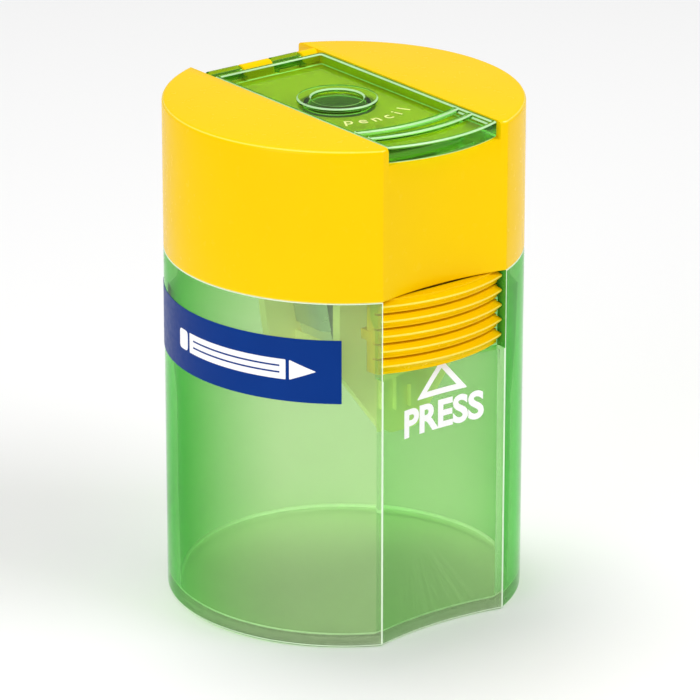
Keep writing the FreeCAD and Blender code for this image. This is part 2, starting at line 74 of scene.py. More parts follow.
RIM_ROUND = 0.5 * MM
SKIRT_WALL = 1.0 * MM
HEAD_WALL = 1.4 * MM
SKIRT_TOP = SEAM + 5 * MM
ROOM_HALF = 9.05 * MM          # half the width of the deep room under the roof
TRACK_FLOOR = TOP - 2.05 * MM
TRACK_HALF = 7.65 * MM
ROOF_UNDER = TRACK_FLOOR - 1.2 * MM
HINGE_Y = 15.5 * MM
HINGE_Z = 56.62 * MM
KNUCKLE = 0.94 * MM
PIN_HOLE = 0.45 * MM
HOLE_Y = 1.2 * MM
HOLE_RADIUS = 4.3 * MM
HEAD_LUGS = ((-2.7 * MM, 1.3 * MM), (5.5 * MM, 7.7 * MM))
LID_KNUCKLES = ((-7.1 * MM, -2.9 * MM), (1.5 * MM, 5.3 * MM))
SEAT_Y = (-16.3 * MM, -12.9 * MM)

LID_HALF = LID_HIGH.x
LID_BACK = 13.9 * MM
LID_UNDER = 55.72 * MM
LID_PANEL = 56.6 * MM
LID_TOP = LID_HIGH.z
LID_FRONT = -LID_LOW.y
LID_ARC = 20.0 * MM
LID_EDGE = 0.55 * MM
THUMB_TOP = 57.05 * MM
THUMB_START = 12.3 * MM
RIDGE_STARTS = (12.7 * MM, 15.1 * MM)
RIDGE_HALF = 7.0 * MM
RIDGE_WIDTH = 0.8 * MM
LID_CORNER = 0.35 * MM
TRAY_CORNER = 0.3 * MM
LID_BEVEL = 0.16 * MM
RING_RADII = (2.9 * MM, 4.5 * MM)
RING_Z = (56.5 * MM, 57.0 * MM)
PLUG_RADII = (3.1 * MM, 3.85 * MM)
PLUG_Z = (55.8 * MM, 54.22 * MM)   # from the lid downwards

PAD_HALF = 8.3 * MM
PAD_CENTRE = 1.6 * MM
PAD_CORE = 20.15 * MM
PAD_CREST = 21.0 * MM
PAD_BACK = 18.5 * MM
PAD_TOP = 40.25 * MM
RIB_PITCH = 1.72 * MM
RIB_COUNT = 5
RIB_CREST_DROP = 0.3 * MM
RIB_DEPTH = 1.05 * MM
RIB_GAP = 0.26 * MM
RIB_ROUND = 0.14 * MM
GROOVE_HALF = 0.14 * MM
GROOVE_DEPTH = 0.7 * MM
RIB_OVERHANG = 0.17 * MM       # how far a rib stands out past the pad on each side
RIB_ROOT = 1.4                 # depth of a rib's root, in rib depths
PAD_BOTTOM = PAD_TOP - RIB_COUNT * RIB_PITCH
ARM_HALF = 6.0 * MM
ARM_Y = (-15.3 * MM, -14.2 * MM)
SHELF_Y = -17.35 * MM
SHELF_DEEP = 1.4 * MM
FLEX_Z = 52.6 * MM
BEAD_RADIUS = 0.6 * MM
ARM_ROUND = 0.15 * MM
NOSE_ROUND = 0.1 * MM
NOSE_X = (6.8 * MM, 8.4 * MM)
NOSE_Y = (-15.8 * MM, -14.0 * MM)
NOSE_Z = (35.2 * MM, 36.4 * MM)

LABEL_LOW, LABEL_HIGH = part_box("label")
LABEL_ANGLES = (38.0, 128.0)   # from the front, turning to the left side
LABEL_UNDER = 0.002 * MM
LABEL_THICK = 0.05 * MM
INK_HALF = 0.01 * MM           # half the thickness of a print
SIGN_STAND_OFF = 0.055 * MM    # middle of the print above the tub, on the label
PRESS_STAND_OFF = 0.015 * MM
PRINT_STEP = 0.6 * MM          # longest edge of a print that follows a curved wall

# Narrow faces painted pale as highlights, and the notch face painted green as light through the
# cut edge: limits of each band in Z, and in X for the notch.
FOOT_GLINT = (0.25 * MM, 0.35 * MM)
FLOOR_GLINT = (FLOOR + 0.09 * MM, FLOOR + 0.35 * MM)
CORNER_GLINT = (0.4 * MM, SEAM)
SEAM_GLINT = (SEAM - 0.13 * MM, SEAM)
NOTCH_GLINT = (NOTCH_HALF - 0.01 * MM, NOTCH_HALF + 0.01 * MM)
SKIRT_GLINT = (SEAM + 0.01 * MM, SEAM + 0.09 * MM)
RIM_GLINT = (TOP - 0.26 * MM, TOP - 0.12 * MM)

RIB_SIZES = {
    "Arc radius": PAD_CREST, "Centre y": PAD_CENTRE, "Half width": PAD_HALF + RIB_OVERHANG,
    "Depth": RIB_DEPTH, "Rib height": RIB_PITCH - RIB_GAP, "Crest drop": RIB_CREST_DROP,
    "First rib": PAD_TOP - RIB_PITCH / 2, "Count": RIB_COUNT, "Pitch": RIB_PITCH}
RIDGE_SIZES = {
    "Arc radius": LID_ARC, "Centre y": 0.0, "Half width": RIDGE_HALF,
    "Bar width": RIDGE_WIDTH, "Bottom": THUMB_TOP - 0.1 * MM, "Top": LID_TOP - 0.01 * MM}

# --------------------------------------------------------------- camera, light
CAMERA_AZIMUTH = math.radians(-37.33)   # from the front, turning to the left
CAMERA_ELEVATION = math.radians(20.63)
CAMERA_DISTANCE = 0.56985
CAMERA_SENSOR = 36.0
CAMERA_LENS = 262.48
CAMERA_SHIFT = (0.0088, -0.0147)
CAMERA_NEAR = 0.01
WORLD_LIGHT = 0.40
LIT_POINT = (0, 0, 0.03)
LIGHTS = (("top", 0.26, 1.6, (0.01, 0.15, 0.62)),       # name, side, power, place
          ("left", 0.35, 1.5, (-0.58, -0.16, 0.20)),
          ("right", 0.30, 1.75, (0.22, -0.40, 0.50)))
FLOOR_HALF = 3.0
FLOOR_SLAB = (-0.02, 0.0)

# -------------------------------------------------------------------- finish
SHARP_ANGLE = 40.0             # degrees; softer edges are shaded smooth
NOISE_RANGE = (0.3, 0.7)       # where most values of a noise lie
SLANT_RANGE = (0.12, 0.75)     # from square on to a full slant
MIX_A, MIX_B, MIX_RESULT = 6, 7, 2   # colour sockets of a Mix node
SHADOW_TINT = (1.0, 0.97, 1.0, 1)
FINE_RELIEF = 0.001 * MM
SOFT_RELIEF = 0.002 * MM


# -------------------------------------------------------------- mesh building
def new_piece(name, verts, faces):
    """Mesh object from points and faces, doubles merged and normals outward."""
    mesh = bpy.data.meshes.new(name)
    mesh.from_pydata(verts, [], faces)
    obj = place_object(name, mesh)
    clean(obj)
    return obj


def place_object(name, data):
    """New object in the scene that holds this mesh, curve, light or camera."""
    obj = bpy.data.objects.new(name, data)
    bpy.context.scene.collection.objects.link(obj)
    return obj


def clean(obj):
    """Merge doubles, turn the normals outward and smooth all but the real edges."""
    bm = bmesh.new()
    bm.from_mesh(obj.data)
    bmesh.ops.remove_doubles(bm, verts=bm.verts, dist=0.002 * MM)
    bmesh.ops.recalc_face_normals(bm, faces=bm.faces)
    bm.to_mesh(obj.data)
    bm.free()
    obj.data.polygons.foreach_set("use_smooth", [True] * len(obj.data.polygons))
    obj.data.set_sharp_from_angle(angle=math.radians(SHARP_ANGLE))
    obj.data.update()


def bake(obj):
    """Replace the mesh by what the modifiers make of it."""
    bpy.context.view_layer.update()
    evaluated = obj.evaluated_get(bpy.context.evaluated_depsgraph_get())
    mesh = bpy.data.meshes.new_from_object(evaluated)
    obj.modifiers.clear()
    obj.data = mesh
    return obj


def drop(obj):
    """Remove a helper object."""
    bpy.data.objects.remove(obj)


def carve(obj, tool, operation="DIFFERENCE"):
    """Boolean of obj with tool."""
    change = obj.modifiers.new("carve", "BOOLEAN")
    change.operation = operation
    change.solver = "EXACT"
    change.object = tool
    bake(obj)
    drop(tool)
    return obj


def soften(obj, width, segments=2, angle=35.0, edge_slot=-1):
    """Round the real edges a little, as a mould does."""
    clean(obj)
    bevel = obj.modifiers.new("edges", "BEVEL")
    bevel.width = width
    bevel.segments = segments
    bevel.limit_method = "ANGLE"
    bevel.angle_limit = math.radians(angle)
    bevel.miter_outer = "MITER_ARC" if edge_slot < 0 else "MITER_SHARP"
    bevel.material = edge_slot
    bake(obj)
    clean(obj)
    return obj


def join(obj, *others):
    """Put the meshes of others into obj."""
    bm = bmesh.new()
    bm.from_mesh(obj.data)
    for other in others:
        bm.from_mesh(other.data)
        drop(other)
    bm.to_mesh(obj.data)
    bm.free()
    return obj


def stack(name, rings):
    """Closed solid through rings of points, flat at both ends."""
    count = len(rings[0])
    verts = [point for ring in rings for point in ring]
    faces = [list(range(count))[::-1]]
    for level in range(len(rings) - 1):
        low = level * count
        high = low + count
        for i in range(count):
            j = (i + 1) % count
            faces.append([low + i, low + j, high + j, high + i])
    faces.append(list(range(len(verts) - count, len(verts))))
    return new_piece(name, verts, faces)


def oblong(x0, x1, y0, y1):
    """Corners of an upright rectangle, anticlockwise."""
    return [(x0, y0), (x1, y0), (x1, y1), (x0, y1)]


def box(name, x, y, z):
    """Box between pairs of limits."""
    return stack(name, [[(px, py, pz) for px, py in oblong(*x, *y)] for pz in z])


def rod(name, radius, z, y=0.0, count=96):
    """Upright round bar between two heights, its axis at y."""
    turns = [2 * math.pi * i / count for i in range(count)]
    ring = [(radius * math.cos(turn), y + radius * math.sin(turn)) for turn in turns]
    return stack(name, [[(px, py, height) for px, py in ring] for height in z])


def turned(name, profile, count=96):
    """Closed profile of (radius, height) points turned round the Z axis."""
    verts = []
    for i in range(count):
        turn = 2 * math.pi * i / count
        verts += [(r * math.cos(turn), r * math.sin(turn), z) for r, z in profile]
    n = len(profile)
    faces = []
    for i in range(count):
        a = i * n
        b = ((i + 1) % count) * n
        for k in range(n):
            m = (k + 1) % n
            faces.append([a + k, b + k, b + m, a + m])
    return new_piece(name, verts, faces)


def lay_along_x(obj, y, z):
    """Turn a piece made round Z so that its axis lies along X at y, z."""
    obj.data.transform(Matrix.Translation((0, y, z)) @ Matrix.Rotation(math.pi / 2, 4, "Y"))
    return obj


def round_corner(radius, start, end, centre, steps):
    """Points on an arc between two angles."""
    return [(centre[0] + radius * math.cos(start + (end - start) * k / steps),
             centre[1] + radius * math.sin(start + (end - start) * k / steps))
            for k in range(steps + 1)]


def corner_centre(big, scoop, corner):
    """X and Y of the centre of the rounding where the channel meets the round body."""
    reach, hold = big - corner, scoop + corner
    centre_y = (reach ** 2 - hold ** 2 + CHANNEL_CENTRE ** 2) / (2 * CHANNEL_CENTRE)
    return math.sqrt(reach ** 2 - centre_y ** 2), centre_y


def can_ring(offset, z, corner=None):
    """Outline of the round body with its channel, moved inwards by offset."""
    if corner is None:
        corner = max(CORNER - offset / 3, LEAST_CORNER)
    big, scoop = RADIUS - offset, CHANNEL_RADIUS + offset
    centre_x, centre_y = corner_centre(big, scoop, corner)
    on_round = math.atan2(centre_y, centre_x)
    on_scoop = math.atan2(centre_y - CHANNEL_CENTRE, centre_x)
    points = round_corner(big, on_round, math.pi - on_round, (0, 0), 200)
    left = round_corner(corner, math.pi - on_round, 2 * math.pi - on_scoop,
                        (-centre_x, centre_y), 8)
    dip = round_corner(scoop, math.pi - on_scoop, on_scoop, (0, CHANNEL_CENTRE), 48)
    right = round_corner(corner, math.pi + on_scoop, 2 * math.pi + on_round,
                         (centre_x, centre_y), 8)
    points += left[1:] + dip[1:-1] + right[:-1]
    return [(x, y, z) for x, y in points]


def quarter(radius, steps):
    """Pairs (1 - sin, 1 - cos) times radius, round a quarter circle."""
    turns = [math.pi / 2 * k / steps for k in range(steps + 1)]
    return [(radius * (1 - math.sin(t)), radius * (1 - math.cos(t))) for t in turns]


# -------------------------------------------------------------------- pieces
def make_tub():
    """Clear tub with its foot, shoulder, neck and the notch for the press tab."""
    levels = [(inwards, up) for inwards, up in quarter(FOOT_ROUND, 6)]
    levels += [(0, SEAM * part) for part in (0.25, 0.5, 0.75)]
    levels += [(inwards, SEAM - down) for down, inwards in quarter(EDGE, 3)]
    levels += [(NECK_OUT - EDGE, SEAM), (NECK_OUT, SEAM + EDGE)]
    levels += [(NECK_OUT, NECK_TOP - NECK_LIP), (NECK_OUT + NECK_LIP, NECK_TOP)]
    levels += [(NECK_IN - NECK_LIP, NECK_TOP), (NECK_IN, NECK_TOP - NECK_LIP)]
    levels += [(NECK_IN, SHOULDER_Z[1]), (TUB_WALL, SHOULDER_Z[0])]
    levels += [(TUB_WALL, SEAM * part) for part in (0.6, 0.3)]
    levels += [(TUB_WALL + inwards, FLOOR + up) for up, inwards in quarter(FOOT_ROUND, 6)]
    tub = stack("tub_shell", [can_ring(offset, z) for offset, z in levels])
    notch_z = (PAD_BOTTOM - CORNER, NECK_TOP + MM)
    carve(tub, box("notch", (-NOTCH_HALF, NOTCH_HALF), NOTCH_Y, notch_z))
    clean(tub)
    return tub


def make_head():
    """Yellow head: skirt, rounded rim, lid track, pencil hole and hinge lugs."""
    levels = [(HEAD_WALL, ROOF_UNDER), (HEAD_WALL, SKIRT_TOP), (SKIRT_WALL, SKIRT_TOP),
              (SKIRT_WALL, SEAM + EDGE), (SKIRT_WALL - EDGE, SEAM)]
    levels += [(inwards, SEAM + up) for inwards, up in quarter(EDGE, 3)]
    levels += [(0, SKIRT_TOP), (0, SEAM + 11 * MM)]
    levels += [(inwards, TOP - down) for down, inwards in quarter(RIM_ROUND, 5)]
    head = stack("head_cap", [can_ring(offset, z) for offset, z in levels])
    room = stack("room", [can_ring(HEAD_WALL, z, 0.2 * MM)
                          for z in (ROOF_UNDER - MM, TOP - HEAD_WALL)])
    carve(room, box("keep", (-ROOM_HALF, ROOM_HALF), (-FAR, FAR),
                    (ROOF_UNDER - 5 * MM, TOP + MM)))
    carve(head, room)
    carve(head, box("track", (-TRACK_HALF, TRACK_HALF), (-FAR, FAR), (TRACK_FLOOR, TOP + 5 * MM)))
    carve(head, rod("hole", HOLE_RADIUS, (ROOF_UNDER - MM, TRACK_FLOOR + MM), HOLE_Y))
    soften(head, 0.1 * MM, 2, angle=50)
    lugs = [hinge_lug("lug", x0, x1, TRACK_FLOOR - 0.2 * MM) for x0, x1 in HEAD_LUGS]
    seat = box("seat", (-ARM_HALF, ARM_HALF), SEAT_Y,
               (FLEX_Z + 0.65 * MM, ROOF_UNDER + 0.3 * MM))
    return join(head, *lugs, seat)


def hinge_lug(name, x0, x1, foot_z=None):
    """Hollow hinge knuckle from x0 to x1, with a foot down to foot_z if given."""
    edge = 0.1 * MM
    half = (x1 - x0) / 2
    profile = [(PIN_HOLE, -half), (KNUCKLE - edge, -half), (KNUCKLE, -half + edge),
               (KNUCKLE, half - edge), (KNUCKLE - edge, half), (PIN_HOLE, half)]
    knuckle = turned(name, profile, 48)
    lay_along_x(knuckle, HINGE_Y, HINGE_Z)
    knuckle.data.transform(Matrix.Translation(((x0 + x1) / 2, 0, 0)))
    if foot_z is not None:
        front, back = HINGE_Y - KNUCKLE, HINGE_Y + KNUCKLE
        for y0, y1, top in ((front, HINGE_Y - PIN_HOLE, HINGE_Z),
                            (HINGE_Y + PIN_HOLE, back, HINGE_Z),
                            (front, back, HINGE_Z - PIN_HOLE)):
            join(knuckle, box("foot", (x0 + edge / 2, x1 - edge / 2), (y0, y1), (foot_z, top)))
    return knuckle


def lid_ring(inset, z, front, corner=LID_CORNER):
    """Outline of the lid: straight sides and back, curved front edge."""
    arc = LID_ARC - inset
    centre_y = LID_ARC - front
    half, back = LID_HALF - inset, LID_BACK - inset
    x = half - corner
    y = centre_y - math.sqrt((arc - corner) ** 2 - x ** 2)
    lean = math.atan2(y - centre_y, x)
    points = round_corner(arc, -math.pi - lean, lean, (0, centre_y), 48)
    points += round_corner(corner, lean, 0, (x, y), 5)[1:]
    points += round_corner(corner, 0, math.pi / 2, (x, back - corner), 5)
    points += round_corner(corner, math.pi / 2, math.pi, (-x, back - corner), 5)
    points += round_corner(corner, math.pi, math.pi - lean, (-x, y), 5)[:-1]
    return [(px, py, z) for px, py in points]


def make_lid():
    """Clear lid: tray, curved thumb ridges, ring, plug and knuckles in one piece."""
    levels = [(0, LID_UNDER), (0, LID_TOP), (LID_EDGE, LID_TOP), (LID_EDGE, THUMB_TOP)]
    lid = stack("lid_panel", [lid_ring(inset, z, LID_FRONT) for inset, z in levels])
    tray = stack("tray", [lid_ring(LID_EDGE, z, THUMB_START + LID_EDGE, TRAY_CORNER)
                          for z in (LID_PANEL, TOP + MM)])
    highlight_painted_edges(lid)
    carve(lid, tray)
    tree = ridge_tree(CLEAR_LID)
    parts = [grow("ridge", tree, {**RIDGE_SIZES, "Centre y": LID_ARC - start})
             for start in RIDGE_STARTS]
    parts += [tube(RING_RADII, RING_Z), tube(PLUG_RADII, PLUG_Z)]
    for part in parts:
        carve(lid, highlight_painted_edges(part), "UNION")
    for x0, x1 in LID_KNUCKLES:
        web = box("web", (x0, x1), (LID_BACK - 0.3 * MM, HINGE_Y - 0.7 * MM),
                  (LID_UNDER + 0.1 * MM, LID_PANEL))
        carve(lid, web, "UNION")
        carve(lid, hinge_lug("knuckle", x0, x1), "UNION")
    clean(lid)
    return lid


def tube(radii, z):
    """Short upright tube round the pencil hole."""
    (inner, outer), (start, end) = radii, z
    part = turned("tube", [(inner, start), (inner, end), (outer, end), (outer, start)])
    part.data.transform(Matrix.Translation((0, HOLE_Y, 0)))
    return part


def highlight_painted_edges(obj):
    """Clear part with its sharp edges cut to narrow faces painted pale green as highlights."""
    obj.data.materials.clear()
    obj.data.materials.append(CLEAR_LID)
    obj.data.materials.append(PAINTED_LID_HIGHLIGHT)
    for polygon in obj.data.polygons:
        polygon.material_index = 0
    return soften(obj, LID_BEVEL, 1, angle=60, edge_slot=1)


# --------------------------------------------------------- Geometry Nodes trees
def grow(name, tree, sizes):
    """Run a Geometry Nodes tree on an empty mesh and keep the plain result."""
    obj = place_object(name, bpy.data.meshes.new(name))
    modifier = obj.modifiers.new("grow", "NODES")
    modifier.node_group = tree
    for item in tree.interface.items_tree:
        if item.item_type == "SOCKET" and item.in_out == "INPUT":
            modifier[item.identifier] = sizes[item.name]
    bake(obj)
    clean(obj)
    return obj


def start_tree(name, sizes):
    """New tree with float inputs (or int where the size is an int)."""
    tree = bpy.data.node_groups.new(name, "GeometryNodeTree")
    for label, size in sizes.items():
        kind = "NodeSocketInt" if isinstance(size, int) else "NodeSocketFloat"
        tree.interface.new_socket(label, in_out="INPUT", socket_type=kind).default_value = size
    tree.interface.new_socket("Geometry", in_out="OUTPUT", socket_type="NodeSocketGeometry")
    return tree, tree.nodes.new("NodeGroupInput").outputs, tree.nodes.new("NodeGroupOutput")


def feed(tree, node, values):
    """Set or link the first inputs of a node, from numbers or sockets."""
    for socket, value in zip(node.inputs, values):
        if isinstance(value, (int, float)):
            socket.default_value = value
        else:
            tree.links.new(value, socket)
    return node.outputs[0]


def calc(tree, operation, *values):
    """Math node on sockets or numbers."""
    node = tree.nodes.new("ShaderNodeMath")
    node.operation = operation
    return feed(tree, node, values)


def vector(tree, x=0.0, y=0.0, z=0.0):
    """Combine XYZ of sockets or numbers."""
    return feed(tree, tree.nodes.new("ShaderNodeCombineXYZ"), (x, y, z))


def finish_tree(tree, geometry, group_out, material):
    """Realize Instances and Set Material, then the output."""
    realize = tree.nodes.new("GeometryNodeRealizeInstances")
    paint = tree.nodes.new("GeometryNodeSetMaterial")
    paint.inputs["Material"].default_value = material
    tree.links.new(geometry, realize.inputs[0])
    tree.links.new(realize.outputs[0], paint.inputs["Geometry"])
    tree.links.new(paint.outputs[0], group_out.inputs[0])


def front_arc(tree, radius, half_width, points, centre):
    """Arc that faces the front, half_width to each side of its centre."""
    sweep = calc(tree, "ARCSINE", calc(tree, "DIVIDE", half_width, radius))
    arc = tree.nodes.new("GeometryNodeCurveArc")
    arc.inputs["Resolution"].default_value = points
    tree.links.new(radius, arc.inputs["Radius"])
    tree.links.new(calc(tree, "SUBTRACT", -math.pi / 2, sweep), arc.inputs["Start Angle"])
    tree.links.new(calc(tree, "MULTIPLY", sweep, 2), arc.inputs["Sweep Angle"])
    place = tree.nodes.new("GeometryNodeTransform")
    tree.links.new(arc.outputs[0], place.inputs["Geometry"])
    tree.links.new(centre, place.inputs["Translation"])
    return place.outputs[0]


def bar_along(tree, path, section):
    """Solid bar of a section along a path, closed at both ends."""
    bar = tree.nodes.new("GeometryNodeCurveToMesh")
    tree.links.new(path, bar.inputs["Curve"])
    tree.links.new(section, bar.inputs["Profile Curve"])
    bar.inputs["Fill Caps"].default_value = True
    return bar.outputs[0]


def ridge_tree(material):
    """Curved thumb ridge with a square section."""
    tree, get, out = start_tree("thumb ridge", RIDGE_SIZES)
    half_bar = calc(tree, "MULTIPLY", get["Bar width"], 0.5)
    radius = calc(tree, "SUBTRACT", get["Arc radius"], half_bar)
    height = calc(tree, "SUBTRACT", get["Top"], get["Bottom"])
    middle = calc(tree, "ADD", get["Bottom"], calc(tree, "MULTIPLY", height, 0.5))
    path = front_arc(tree, radius, get["Half width"], 49,
                     vector(tree, 0, get["Centre y"], middle))
    section = tree.nodes.new("GeometryNodeCurvePrimitiveQuadrilateral")
    tree.links.new(get["Bar width"], section.inputs["Width"])
    tree.links.new(height, section.inputs["Height"])
    finish_tree(tree, bar_along(tree, path, section.outputs[0]), out, material)
    return tree


def set_named(node, name, value):
    """Set the first enabled input that carries this name."""
    for socket in node.inputs:
        if socket.name == name and socket.enabled:
            socket.default_value = value
            return


def repeat_down(tree, geometry, count, pitch):
    """Instances of geometry on a line of points that runs down."""
    line = tree.nodes.new("GeometryNodeMeshLine")
    line.mode = "OFFSET"
    tree.links.new(count, line.inputs["Count"])
    tree.links.new(vector(tree, 0, 0, calc(tree, "MULTIPLY", pitch, -1)), line.inputs["Offset"])
    place = tree.nodes.new("GeometryNodeInstanceOnPoints")
    tree.links.new(line.outputs[0], place.inputs["Points"])
    tree.links.new(geometry, place.inputs["Instance"])
    return place.outputs[0]


def rib_tree(material):
    """Pointed, softly rounded ribs of the press pad, one below the other."""
    tree, get, out = start_tree("pad ribs", RIB_SIZES)
    path = front_arc(tree, get["Arc radius"], get["Half width"], 65,
                     vector(tree, 0, get["Centre y"], get["First rib"]))
    half = calc(tree, "MULTIPLY", get["Rib height"], 0.5)
    deep = calc(tree, "MULTIPLY", get["Depth"], -1)
    corners = ((deep, half), (0, calc(tree, "MULTIPLY", get["Crest drop"], -1)),
               (deep, calc(tree, "MULTIPLY", half, -1)),
               (calc(tree, "MULTIPLY", deep, RIB_ROOT), 0))
    section = tree.nodes.new("GeometryNodeCurvePrimitiveQuadrilateral")
    section.mode = "POINTS"
    for number, (x, y) in enumerate(corners, 1):
        tree.links.new(vector(tree, x, y), section.inputs[f"Point {number}"])
    rounded = tree.nodes.new("GeometryNodeFilletCurve")
    rounded.mode = "POLY"
    tree.links.new(section.outputs[0], rounded.inputs["Curve"])
    set_named(rounded, "Count", 6)
    set_named(rounded, "Radius", RIB_ROUND)
    rib = bar_along(tree, path, rounded.outputs[0])
    finish_tree(tree, repeat_down(tree, rib, get["Count"], get["Pitch"]), out, material)
    return tree


# --------------------------------------------------------------------- latch
def pad_block():
    """Curved plate behind the ribs, with a narrow groove between every two ribs."""
    groove = PAD_CORE - GROOVE_DEPTH
    levels = [(PAD_BOTTOM, PAD_CORE)]
    for rib in range(1, RIB_COUNT):
        z = PAD_BOTTOM + rib * RIB_PITCH
        levels += [(z - GROOVE_HALF, PAD_CORE), (z - GROOVE_HALF, groove),
                   (z + GROOVE_HALF, groove), (z + GROOVE_HALF, PAD_CORE)]
    levels.append((PAD_TOP, PAD_CORE))
    steps = 48
    across = [-PAD_HALF + 2 * PAD_HALF * k / steps for k in range(steps + 1)]
    rings = []
    for z, radius in levels:
        outer = [(x, PAD_CENTRE - math.sqrt(radius ** 2 - x * x), z) for x in across]
        inner = [(x, PAD_CENTRE - math.sqrt(PAD_BACK ** 2 - x * x), z) for x in across]
        rings.append(outer + inner[::-1])
    return stack("press_pad", rings)


def make_latch(material):
    """Press tab: ribbed pad, shelf, springy arm, its root bead and two noses."""
    pad = pad_block()
    ribs = grow("ribs", rib_tree(material), RIB_SIZES)
    shelf = box("shelf", (-ARM_HALF, ARM_HALF), (SHELF_Y, ARM_Y[1]),
                (PAD_TOP - SHELF_DEEP, PAD_TOP))
    arm = box("arm", (-ARM_HALF, ARM_HALF), ARM_Y, (PAD_TOP - MM, FLEX_Z))
    soften(shelf, ARM_ROUND)
    soften(arm, ARM_ROUND)
    bead = lay_along_x(rod("bead", BEAD_RADIUS, (-ARM_HALF, ARM_HALF), count=48),
                       sum(ARM_Y) / 2, FLEX_Z)
    noses = [soften(box("nose", sorted(side * x for x in NOSE_X), NOSE_Y, NOSE_Z), NOSE_ROUND)
             for side in (-1, 1)]
    return join(pad, ribs, shelf, arm, bead, *noses)


# ------------------------------------------------------------------- prints
def flat_mesh(name, curve):
    """Mesh object made from text or a flat curve."""
    obj = place_object(name, curve)
    bpy.context.view_layer.update()
    mesh = bpy.data.meshes.new_from_object(
        obj.evaluated_get(bpy.context.evaluated_depsgraph_get()))
    drop(obj)
    return place_object(name, mesh)


def lettering(name, words, size, weight=0.0, depth=INK_HALF):
    """Flat lettering in the XY plane, centred; weight makes the strokes bolder."""
    curve = bpy.data.curves.new(name, "FONT")
    curve.body = words
    curve.size = size
    curve.offset = weight
    curve.extrude = depth
    curve.align_x = "CENTER"
    curve.align_y = "BOTTOM_BASELINE"
    curve.resolution_u = 6
    return flat_mesh(name, curve)


def slab(name, outline, holes=()):
    """Thin plate of ink in the XY plane, with holes."""
    curve = bpy.data.curves.new(name, "CURVE")
    curve.dimensions = "2D"
    curve.fill_mode = "BOTH"
    curve.extrude = INK_HALF
    for loop in (outline, *holes):
        spline = curve.splines.new("POLY")
        spline.points.add(len(loop) - 1)
        for point, (x, y) in zip(spline.points, loop):
            point.co = (x, y, 0, 1)
        spline.use_cyclic_u = True
    return flat_mesh(name, curve)


def refine(obj, length=PRINT_STEP):
    """Cut long edges so that the plate can follow a curved wall."""
    bm = bmesh.new()
    bm.from_mesh(obj.data)
    bmesh.ops.triangulate(bm, faces=bm.faces)
    for _ in range(5):
        long_edges = [e for e in bm.edges if e.calc_length() > length]
        if not long_edges:
            break
        bmesh.ops.subdivide_edges(bm, edges=long_edges, cuts=1)
        bmesh.ops.triangulate(bm, faces=bm.faces)
    bm.to_mesh(obj.data)
    bm.free()


def wrap(obj, place):
    """Move every point by a rule from (x, y, z) on the plate to the wall."""
    for vertex in obj.data.vertices:
        vertex.co = place(*vertex.co)
    clean(obj)
    return obj


def on_channel(x, y, z):
    """Plate point to the channel wall: x across, y up, z out of the wall."""
    wall = CHANNEL_CENTRE + math.sqrt(CHANNEL_RADIUS ** 2 - x * x)
    return (x, wall - PRESS_STAND_OFF - z, y)


def rounded_loop(corners, radius, steps=5):
    """Polygon with rounded corners."""
    loop = []
    count = len(corners)
    for i in range(count):
        before = Vector(corners[i - 1])
        here = Vector(corners[i])
        after = Vector(corners[(i + 1) % count])
        start = here + (before - here).normalized() * radius
        end = here + (after - here).normalized() * radius
        for k in range(steps + 1):
            t = k / steps
            point = (1 - t) ** 2 * start + 2 * t * (1 - t) * here + t * t * end
            loop.append((point.x, point.y))
    return loop


def make_press_print():
    """White outlined triangle and the word PRESS on the channel wall."""
    centre_x, base, apex = 0.3 * MM, 27.6 * MM, 31.6 * MM
    half, stroke, rounding = 3.5 * MM, 0.66 * MM, 0.25 * MM
    outer = [(centre_x - half, base), (centre_x + half, base), (centre_x, apex)]
    height = apex - base
    inradius = half * height / (half + math.hypot(half, height))
    shrink = (inradius - stroke) / inradius
    heart = Vector((centre_x, base + inradius))
    inner = [tuple(heart + (Vector(corner) - heart) * shrink) for corner in outer]
    sign = slab("press_print", rounded_loop(outer, rounding), [inner])
    size, weight, baseline = 4.4 * MM, 0.15 * MM, (0.35 * MM, 23.75 * MM, 0)
    word = lettering("word", "PRESS", size, weight)
    word.data.transform(Matrix.Translation(baseline))
    join(sign, word)
    refine(sign)
    return wrap(sign, on_channel)


def on_label(x, y, z):
    """Plate point to the round wall over the label."""
    radius = RADIUS + SIGN_STAND_OFF + z
    turn = math.pi / 2 - x / RADIUS
    return (-radius * math.sin(turn), -radius * math.cos(turn), y)


def make_label():
    """Printed band on the left of the tub."""
    start, end = (math.radians(a) for a in LABEL_ANGLES)
    z0, z1 = LABEL_LOW.z, LABEL_HIGH.z
    steps = 96
    rings = []
    for k in range(steps + 1):
        turn = start + (end - start) * k / steps
        out = Vector((-math.sin(turn), -math.cos(turn), 0))
        low, high = out * (RADIUS + LABEL_UNDER), out * (RADIUS + LABEL_THICK)
        rings.append([(low.x, low.y, z0), (high.x, high.y, z0), (high.x, high.y, z1),
                      (low.x, low.y, z1)])
    return stack("label_band", rings)


def make_pictogram():
    """White pencil sign of the label: plain shapes, no lettering."""
    middle = (LABEL_LOW.z + LABEL_HIGH.z) / 2
    half, gap, cap_length = 1.15 * MM, 0.4 * MM, 1.8 * MM
    left, right = -1.6 * MM, 15.4 * MM
    neck = right - 3.4 * MM
    low, high = middle - half, middle + half
    tip = [(neck + gap, low), (right, middle), (neck + gap, high)]
    line_in, line_out, line_half = 0.7 * MM, 0.38 * MM, 0.1 * MM
    lines = [oblong(left + line_in, neck - line_in, y - line_half, y + line_half)
             for y in (middle - line_out, middle + line_out)]
    art = slab("label_print", rounded_loop(oblong(left, neck, low, high), 0.12 * MM), lines)
    cap = oblong(left - gap - cap_length, left - gap, low, high)
    join(art, slab("tip", rounded_loop(tip, 0.15 * MM)),
         slab("cap", rounded_loop(cap, 0.5 * MM)))
    refine(art)
    return wrap(art, on_label)


